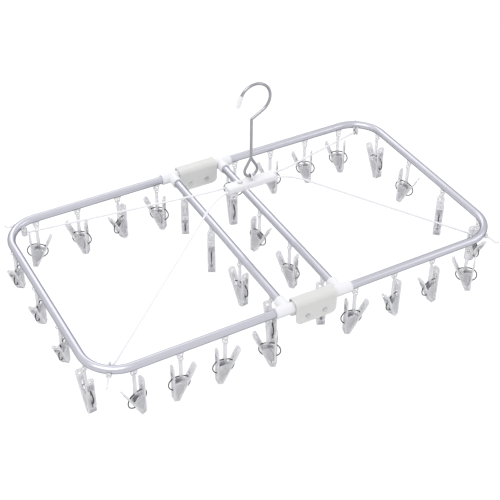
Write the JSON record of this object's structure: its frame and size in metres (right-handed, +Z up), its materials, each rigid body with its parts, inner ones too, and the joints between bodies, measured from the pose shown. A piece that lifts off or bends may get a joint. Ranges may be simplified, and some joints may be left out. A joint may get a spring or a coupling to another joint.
{
  "type": "clip drying hanger",
  "caption": "Folding laundry hanger: a rounded tube frame in two hinged halves, hung by cords from a wire hook, with sprung clips on links all round.",
  "frame": {"origin": "the hook's seat: the underside of the wire at the top of the hook's arc", "axes": "+X along the long sides of the frame, +Y across it, +Z up"},
  "size_m": [0.6926, 0.3984, 0.3449],
  "materials": {
    "polished_steel": "bright drawn and plated wire",
    "soft_white_cap": "soft moulded",
    "pin_steel": "satin",
    "spring_steel": "dark oiled wire",
    "satin_aluminium": "satin anodised",
    "milky_cover": "translucent moulded",
    "milky_plastic": "frosted translucent moulded",
    "cord_white": "smooth extruded",
    "white_plastic": "moulded"
  },
  "bodies": {
    "hook": {"hook_wire": "polished_steel", "hook_tip_cap": "soft_white_cap"},
    "hub": {"hub_bar": "white_plastic"},
    "hinge_covers": {"hinge_cover_near": "milky_cover", "hinge_cover_far": "milky_cover", "hinge_pins": "pin_steel"},
    "half_left": {"frame_tube_left": "satin_aluminium", "crossbar_left": "satin_aluminium", "tee_joints_left": "white_plastic", "cord_anchors_left": "milky_plastic", "clip_lugs_left": "milky_plastic"},
    "cord_near_left": {"cord_near_left": "cord_white"},
    "clip_near_left_1": {"clip_near_left_1": "milky_plastic"},
    "jaw_near_left_1": {"jaw_near_left_1": "milky_plastic"},
    "clip_near_left_2": {"clip_near_left_2": "milky_plastic"},
    "jaw_near_left_2": {"jaw_near_left_2": "milky_plastic"},
    "clip_near_left_3": {"clip_near_left_3": "milky_plastic"},
    "jaw_near_left_3": {"jaw_near_left_3": "milky_plastic"},
    "clip_near_left_4": {"clip_near_left_4": "milky_plastic"},
    "jaw_near_left_4": {"jaw_near_left_4": "milky_plastic"},
    "cord_far_left": {"cord_far_left": "cord_white"},
    "clip_far_left_1": {"clip_far_left_1": "milky_plastic"},
    "jaw_far_left_1": {"jaw_far_left_1": "milky_plastic"},
    "clip_far_left_2": {"clip_far_left_2": "milky_plastic"},
    "jaw_far_left_2": {"jaw_far_left_2": "milky_plastic"},
    "clip_far_left_3": {"clip_far_left_3": "milky_plastic"},
    "jaw_far_left_3": {"jaw_far_left_3": "milky_plastic"},
    "clip_far_left_4": {"clip_far_left_4": "milky_plastic"},
    "jaw_far_left_4": {"jaw_far_left_4": "milky_plastic"},
    "clips_side_left": {"clips_side_left": "milky_plastic", "springs_side_left": "spring_steel"},
    "clips_crossbar_left": {"clips_crossbar_left": "milky_plastic", "springs_crossbar_left": "spring_steel"},
    "half_right": {"frame_tube_right": "satin_aluminium", "crossbar_right": "satin_aluminium", "tee_joints_right": "white_plastic", "cord_anchors_right": "milky_plastic", "clip_lugs_right": "milky_plastic"},
    "cord_near_right": {"cord_near_right": "cord_white"},
    "clip_near_right_1": {"clip_near_right_1": "milky_plastic"},
    "jaw_near_right_1": {"jaw_near_right_1": "milky_plastic"},
    "clip_near_right_2": {"clip_near_right_2": "milky_plastic"},
    "jaw_near_right_2": {"jaw_near_right_2": "milky_plastic"},
    "clip_near_right_3": {"clip_near_right_3": "milky_plastic"},
    "jaw_near_right_3": {"jaw_near_right_3": "milky_plastic"},
    "clip_near_right_4": {"clip_near_right_4": "milky_plastic"},
    "jaw_near_right_4": {"jaw_near_right_4": "milky_plastic"},
    "cord_far_right": {"cord_far_right": "cord_white"},
    "clip_far_right_1": {"clip_far_right_1": "milky_plastic"},
    "jaw_far_right_1": {"jaw_far_right_1": "milky_plastic"},
    "clip_far_right_2": {"clip_far_right_2": "milky_plastic"},
    "jaw_far_right_2": {"jaw_far_right_2": "milky_plastic"},
    "clip_far_right_3": {"clip_far_right_3": "milky_plastic"},
    "jaw_far_right_3": {"jaw_far_right_3": "milky_plastic"},
    "clip_far_right_4": {"clip_far_right_4": "milky_plastic"},
    "jaw_far_right_4": {"jaw_far_right_4": "milky_plastic"},
    "clips_side_right": {"clips_side_right": "milky_plastic", "springs_side_right": "spring_steel"},
    "clips_crossbar_right": {"clips_crossbar_right": "milky_plastic", "springs_crossbar_right": "spring_steel"}
  },
  "joints": [
    {"name": "hub_swing", "type": "hinge", "parent": "hook", "child": "hub", "pos_m": [-0.0055, 0, -0.1492], "axis": [1, 0, 0], "range_deg": [-25, 25]},
    {"name": "frame_lift", "type": "slide", "parent": "hub", "child": "hinge_covers", "axis": [0, 0, 1], "range_m": [0, 0.1025]},
    {"name": "fold_left", "type": "hinge", "parent": "hinge_covers", "child": "half_left", "pos_m": [-0.0195, 0, -0.2649], "axis": [0, -1, 0], "range_deg": [0, 73]},
    {"name": "cord_pivot_near_left", "type": "hinge", "parent": "half_left", "child": "cord_near_left", "pos_m": [-0.3055, -0.165, -0.2569], "axis": [0, 1, 0], "range_deg": [0, 17.94]},
    {"name": "swing_near_left_1", "type": "hinge", "parent": "half_left", "child": "clip_near_left_1", "pos_m": [-0.0775, -0.182, -0.2619], "axis": [-0.3618, 0.7938, -0.4889], "range_deg": [0, 86.48]},
    {"name": "open_near_left_1", "type": "hinge", "parent": "clip_near_left_1", "child": "jaw_near_left_1", "pos_m": [-0.07461, -0.18451, -0.31646], "axis": [-0.6561, -0.7547, 0], "range_deg": [0, 12], "stiffness_Nm_per_rad": 0.05, "springref_deg": -28.65},
    {"name": "swing_near_left_2", "type": "hinge", "parent": "half_left", "child": "clip_near_left_2", "pos_m": [-0.1455, -0.182, -0.2619], "axis": [-0.4963, 0.5512, -0.6707], "range_deg": [0, 107.13]},
    {"name": "open_near_left_2", "type": "hinge", "parent": "clip_near_left_2", "child": "jaw_near_left_2", "pos_m": [-0.1493, -0.1816, -0.31646], "axis": [-0.1045, -0.9945, 0], "range_deg": [0, 12], "stiffness_Nm_per_rad": 0.05, "springref_deg": -28.65},
    {"name": "swing_near_left_3", "type": "hinge", "parent": "half_left", "child": "clip_near_left_3", "pos_m": [-0.2135, -0.182, -0.2619], "axis": [-0.5015, 0.5378, -0.6777], "range_deg": [0, 108.48]},
    {"name": "open_near_left_3", "type": "hinge", "parent": "clip_near_left_3", "child": "jaw_near_left_3", "pos_m": [-0.21732, -0.18173, -0.31646], "axis": [-0.0698, -0.9976, 0], "range_deg": [0, 12], "stiffness_Nm_per_rad": 0.05, "springref_deg": -28.65},
    {"name": "swing_near_left_4", "type": "hinge", "parent": "half_left", "child": "clip_near_left_4", "pos_m": [-0.2815, -0.182, -0.2619], "axis": [0.4701, 0.6127, 0.6353], "range_deg": [0, 101.25]},
    {"name": "open_near_left_4", "type": "hinge", "parent": "clip_near_left_4", "child": "jaw_near_left_4", "pos_m": [-0.27781, -0.18101, -0.31646], "axis": [0.2588, -0.9659, 0], "range_deg": [0, 12], "stiffness_Nm_per_rad": 0.05, "springref_deg": -28.65},
    {"name": "cord_pivot_far_left", "type": "hinge", "parent": "half_left", "child": "cord_far_left", "pos_m": [-0.3055, 0.165, -0.2569], "axis": [0, 1, 0], "range_deg": [0, 17.94]},
    {"name": "swing_far_left_1", "type": "hinge", "parent": "half_left", "child": "clip_far_left_1", "pos_m": [-0.0775, 0.182, -0.2619], "axis": [-0.3399, 0.8206, -0.4594], "range_deg": [0, 84.58]},
    {"name": "open_far_left_1", "type": "hinge", "parent": "clip_far_left_1", "child": "jaw_far_left_1", "pos_m": [-0.0748, 0.1793, -0.31646], "axis": [-0.7071, -0.7071, 0], "range_deg": [0, 12], "stiffness_Nm_per_rad": 0.05, "springref_deg": -28.65},
    {"name": "swing_far_left_2", "type": "hinge", "parent": "half_left", "child": "clip_far_left_2", "pos_m": [-0.1455, 0.182, -0.2619], "axis": [0.4268, 0.6965, 0.5768], "range_deg": [0, 93.97]},
    {"name": "open_far_left_2", "type": "hinge", "parent": "clip_far_left_2", "child": "jaw_far_left_2", "pos_m": [-0.14209, 0.18374, -0.31646], "axis": [0.454, -0.891, 0], "range_deg": [0, 12], "stiffness_Nm_per_rad": 0.05, "springref_deg": -28.65},
    {"name": "swing_far_left_3", "type": "hinge", "parent": "half_left", "child": "clip_far_left_3", "pos_m": [-0.2135, 0.182, -0.2619], "axis": [-0.3564, 0.8006, -0.4817], "range_deg": [0, 85.99]},
    {"name": "open_far_left_3", "type": "hinge", "parent": "clip_far_left_3", "child": "jaw_far_left_3", "pos_m": [-0.21066, 0.17944, -0.31646], "axis": [-0.6691, -0.7431, 0], "range_deg": [0, 12], "stiffness_Nm_per_rad": 0.05, "springref_deg": -28.65},
    {"name": "swing_far_left_4", "type": "hinge", "parent": "half_left", "child": "clip_far_left_4", "pos_m": [-0.2815, 0.182, -0.2619], "axis": [-0.4533, 0.6474, -0.6126], "range_deg": [0, 98.13]},
    {"name": "open_far_left_4", "type": "hinge", "parent": "clip_far_left_4", "child": "jaw_far_left_4", "pos_m": [-0.28509, 0.18331, -0.31646], "axis": [-0.342, -0.9397, 0], "range_deg": [0, 12], "stiffness_Nm_per_rad": 0.05, "springref_deg": -28.65},
    {"name": "swing_side_left", "type": "hinge", "parent": "half_left", "child": "clips_side_left", "pos_m": [-0.33376, 0, -0.2659], "axis": [0, -1, 0], "range_deg": [-73, 0]},
    {"name": "swing_crossbar_left", "type": "hinge", "parent": "half_left", "child": "clips_crossbar_left", "pos_m": [-0.0485, 0, -0.2659], "axis": [0, -1, 0], "range_deg": [-73, 0]},
    {"name": "fold_right", "type": "hinge", "parent": "hinge_covers", "child": "half_right", "pos_m": [0.0085, 0, -0.2649], "axis": [0, 1, 0], "range_deg": [0, 73]},
    {"name": "cord_pivot_near_right", "type": "hinge", "parent": "half_right", "child": "cord_near_right", "pos_m": [0.2945, -0.165, -0.2569], "axis": [0, -1, 0], "range_deg": [0, 17.94]},
    {"name": "swing_near_right_1", "type": "hinge", "parent": "half_right", "child": "clip_near_right_1", "pos_m": [0.0665, -0.182, -0.2619], "axis": [0.4733, -0.6058, -0.6396], "range_deg": [0, 101.89]},
    {"name": "open_near_right_1", "type": "hinge", "parent": "clip_near_right_1", "child": "jaw_near_right_1", "pos_m": [0.06279, -0.18108, -0.31646], "axis": [-0.2419, -0.9703, 0], "range_deg": [0, 12], "stiffness_Nm_per_rad": 0.05, "springref_deg": -28.65},
    {"name": "swing_near_right_2", "type": "hinge", "parent": "half_right", "child": "clip_near_right_2", "pos_m": [0.1345, -0.182, -0.2619], "axis": [-0.4533, -0.6474, 0.6126], "range_deg": [0, 98.13]},
    {"name": "open_near_right_2", "type": "hinge", "parent": "clip_near_right_2", "child": "jaw_near_right_2", "pos_m": [0.13809, -0.18069, -0.31646], "axis": [0.342, -0.9397, 0], "range_deg": [0, 12], "stiffness_Nm_per_rad": 0.05, "springref_deg": -28.65},
    {"name": "swing_near_right_3", "type": "hinge", "parent": "half_right", "child": "clip_near_right_3", "pos_m": [0.2025, -0.182, -0.2619], "axis": [-0.4936, -0.5579, 0.6671], "range_deg": [0, 106.47]},
    {"name": "open_near_right_3", "type": "hinge", "parent": "clip_near_right_3", "child": "jaw_near_right_3", "pos_m": [0.2063, -0.18153, -0.31646], "axis": [0.1219, -0.9925, 0], "range_deg": [0, 12], "stiffness_Nm_per_rad": 0.05, "springref_deg": -28.65},
    {"name": "swing_near_right_4", "type": "hinge", "parent": "half_right", "child": "clip_near_right_4", "pos_m": [0.2705, -0.182, -0.2619], "axis": [0.3455, -0.814, -0.4669], "range_deg": [0, 85.04]},
    {"name": "open_near_right_4", "type": "hinge", "parent": "clip_near_right_4", "child": "jaw_near_right_4", "pos_m": [0.27325, -0.18466, -0.31646], "axis": [-0.6947, -0.7193, 0], "range_deg": [0, 12], "stiffness_Nm_per_rad": 0.05, "springref_deg": -28.65},
    {"name": "cord_pivot_far_right", "type": "hinge", "parent": "half_right", "child": "cord_far_right", "pos_m": [0.2945, 0.165, -0.2569], "axis": [0, -1, 0], "range_deg": [0, 17.94]},
    {"name": "swing_far_right_1", "type": "hinge", "parent": "half_right", "child": "clip_far_right_1", "pos_m": [0.0665, 0.182, -0.2619], "axis": [0.387, -0.7595, -0.523], "range_deg": [0, 89.01]},
    {"name": "open_far_right_1", "type": "hinge", "parent": "clip_far_right_1", "child": "jaw_far_right_1", "pos_m": [0.06341, 0.18425, -0.31646], "axis": [-0.5878, -0.809, 0], "range_deg": [0, 12], "stiffness_Nm_per_rad": 0.05, "springref_deg": -28.65},
    {"name": "swing_far_right_2", "type": "hinge", "parent": "half_right", "child": "clip_far_right_2", "pos_m": [0.1345, 0.182, -0.2619], "axis": [0.367, -0.787, -0.4959], "range_deg": [0, 86.97]},
    {"name": "open_far_right_2", "type": "hinge", "parent": "clip_far_right_2", "child": "jaw_far_right_2", "pos_m": [0.13743, 0.17954, -0.31646], "axis": [-0.6428, -0.766, 0], "range_deg": [0, 12], "stiffness_Nm_per_rad": 0.05, "springref_deg": -28.65},
    {"name": "swing_far_right_3", "type": "hinge", "parent": "half_right", "child": "clip_far_right_3", "pos_m": [0.2025, 0.182, -0.2619], "axis": [0.3564, -0.8006, -0.4817], "range_deg": [0, 85.99]},
    {"name": "open_far_right_3", "type": "hinge", "parent": "clip_far_right_3", "child": "jaw_far_right_3", "pos_m": [0.20534, 0.17944, -0.31646], "axis": [-0.6691, -0.7431, 0], "range_deg": [0, 12], "stiffness_Nm_per_rad": 0.05, "springref_deg": -28.65},
    {"name": "swing_far_right_4", "type": "hinge", "parent": "half_right", "child": "clip_far_right_4", "pos_m": [0.2705, 0.182, -0.2619], "axis": [0.3455, -0.814, -0.4669], "range_deg": [0, 85.04]},
    {"name": "open_far_right_4", "type": "hinge", "parent": "clip_far_right_4", "child": "jaw_far_right_4", "pos_m": [0.27325, 0.17934, -0.31646], "axis": [-0.6947, -0.7193, 0], "range_deg": [0, 12], "stiffness_Nm_per_rad": 0.05, "springref_deg": -28.65},
    {"name": "swing_side_right", "type": "hinge", "parent": "half_right", "child": "clips_side_right", "pos_m": [0.32276, 0, -0.2659], "axis": [0, 1, 0], "range_deg": [-73, 0]},
    {"name": "swing_crossbar_right", "type": "hinge", "parent": "half_right", "child": "clips_crossbar_right", "pos_m": [0.0375, 0, -0.2659], "axis": [0, 1, 0], "range_deg": [-73, 0]}
  ],
  "couplings": [
    {"joint": "frame_lift", "follows": "fold_left", "m_per_rad": 0.079664},
    {"joint": "cord_pivot_near_left", "follows": "fold_left", "ratio": 0.23892},
    {"joint": "swing_near_left_1", "follows": "fold_left", "ratio": 1.1778},
    {"joint": "swing_near_left_2", "follows": "fold_left", "ratio": 1.4607},
    {"joint": "swing_near_left_3", "follows": "fold_left", "ratio": 1.4792},
    {"joint": "swing_near_left_4", "follows": "fold_left", "ratio": 1.3802},
    {"joint": "cord_pivot_far_left", "follows": "fold_left", "ratio": 0.23892},
    {"joint": "swing_far_left_1", "follows": "fold_left", "ratio": 1.1518},
    {"joint": "swing_far_left_2", "follows": "fold_left", "ratio": 1.2804},
    {"joint": "swing_far_left_3", "follows": "fold_left", "ratio": 1.1711},
    {"joint": "swing_far_left_4", "follows": "fold_left", "ratio": 1.3374},
    {"joint": "swing_side_left", "follows": "fold_left", "ratio": -1},
    {"joint": "swing_crossbar_left", "follows": "fold_left", "ratio": -1},
    {"joint": "fold_right", "follows": "fold_left", "ratio": 1},
    {"joint": "cord_pivot_near_right", "follows": "fold_left", "ratio": 0.23892},
    {"joint": "swing_near_right_1", "follows": "fold_left", "ratio": 1.3889},
    {"joint": "swing_near_right_2", "follows": "fold_left", "ratio": 1.3374},
    {"joint": "swing_near_right_3", "follows": "fold_left", "ratio": 1.4516},
    {"joint": "swing_near_right_4", "follows": "fold_left", "ratio": 1.1582},
    {"joint": "cord_pivot_far_right", "follows": "fold_left", "ratio": 0.23892},
    {"joint": "swing_far_right_1", "follows": "fold_left", "ratio": 1.2125},
    {"joint": "swing_far_right_2", "follows": "fold_left", "ratio": 1.1845},
    {"joint": "swing_far_right_3", "follows": "fold_left", "ratio": 1.1711},
    {"joint": "swing_far_right_4", "follows": "fold_left", "ratio": 1.1582},
    {"joint": "swing_side_right", "follows": "fold_left", "ratio": -1},
    {"joint": "swing_crossbar_right", "follows": "fold_left", "ratio": -1}
  ]
}
